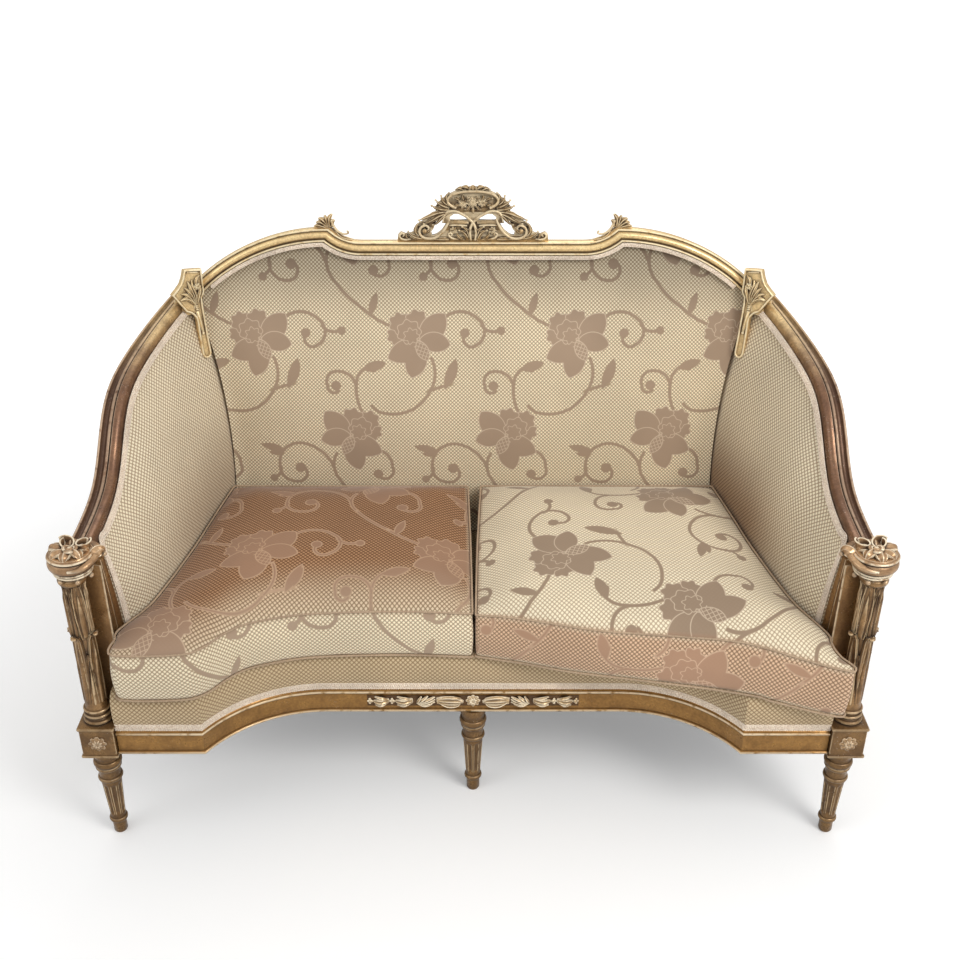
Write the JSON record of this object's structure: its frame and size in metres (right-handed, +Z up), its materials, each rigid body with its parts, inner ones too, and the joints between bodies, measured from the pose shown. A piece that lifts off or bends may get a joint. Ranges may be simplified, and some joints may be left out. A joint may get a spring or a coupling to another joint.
{
  "type": "two-seater sofa",
  "caption": "Gilded wood loveseat with serpentine front, raked back with carved crest, swept arms on turned fluted posts, patterned upholstery and loose lift-off seat cushions.",
  "frame": {"origin": "on the floor under the middle of the sofa's bounding box", "axes": "+X along the sofa's width to the viewer's right, +Y towards the back, +Z up; the sitter looks along -Y"},
  "size_m": [1.462, 0.7504, 1.0873],
  "materials": {
    "gilt_crest": "bright worn gilding with brown in the grooves",
    "gilt_arm": "dark worn gilding with pale chips at the edges",
    "gilt_post": "antique gilding, paler on the raised carving",
    "gilt_rail": "antique gilding with brighter beads",
    "frame_wood": "bare planed beech",
    "back_damask": "woven lattice ground with brown flowers and scrolls",
    "wing_weave": "woven lattice ground, plain",
    "cushion_brown": "brown woven damask with pale outlined flowers",
    "cushion_cream": "cream woven damask with brown flowers",
    "gimp_braid": "woven braid",
    "jute_webbing": "coarse jute strap",
    "cambric": "thin black dust cloth",
    "spring_steel": "bare spring wire"
  },
  "bodies": {
    "frame": {"apron_carving": "gilt_rail", "arm_facing_left": "gilt_arm", "arm_facing_right": "gilt_arm", "arm_knuckle_left": "gilt_post", "arm_knuckle_right": "gilt_post", "arm_rail_left": "gilt_arm", "arm_rail_right": "gilt_arm", "back_brace_left": "frame_wood", "back_brace_right": "frame_wood", "back_leg_left": "gilt_post", "back_leg_right": "gilt_post", "back_seat_rail": "frame_wood", "back_stay_rail": "frame_wood", "back_webbing": "jute_webbing", "centre_front_leg": "gilt_post", "corner_block_left": "gilt_crest", "corner_block_right": "gilt_crest", "crest_carving": "gilt_crest", "crest_rail": "gilt_crest", "dust_cover": "cambric", "ear_leaf_left": "gilt_crest", "ear_leaf_right": "gilt_crest", "front_border": "wing_weave", "front_brace_left": "frame_wood", "front_brace_right": "frame_wood", "front_gimp": "gimp_braid", "front_post_left": "gilt_post", "front_post_right": "gilt_post", "front_rail": "gilt_rail", "inside_back": "back_damask", "inside_wing_left": "wing_weave", "inside_wing_right": "wing_weave", "knuckle_rose_left": "gilt_post", "knuckle_rose_right": "gilt_post", "outside_back": "wing_weave", "outside_wing_left": "wing_weave", "outside_wing_right": "wing_weave", "rosette_left": "gilt_post", "rosette_right": "gilt_post", "seat_cross_rail": "frame_wood", "seat_deck": "wing_weave", "seat_webbing": "jute_webbing", "side_rail_left": "gilt_rail", "side_rail_right": "gilt_rail", "spring_back_left_inner": "spring_steel", "spring_back_left_outer": "spring_steel", "spring_back_right_inner": "spring_steel", "spring_back_right_outer": "spring_steel", "spring_front_left_inner": "spring_steel", "spring_front_left_outer": "spring_steel", "spring_front_right_inner": "spring_steel", "spring_front_right_outer": "spring_steel"},
    "cushion_left": {"seat_cushion_left": "cushion_brown"},
    "cushion_right": {"seat_cushion_right": "cushion_cream"}
  },
  "joints": [
    {"name": "cushion_left_lift", "type": "slide", "parent": "frame", "child": "cushion_left", "axis": [0, 0, 1], "range_m": [0, 0.75]},
    {"name": "cushion_right_lift", "type": "slide", "parent": "frame", "child": "cushion_right", "axis": [0, 0, 1], "range_m": [0, 0.75]}
  ]
}
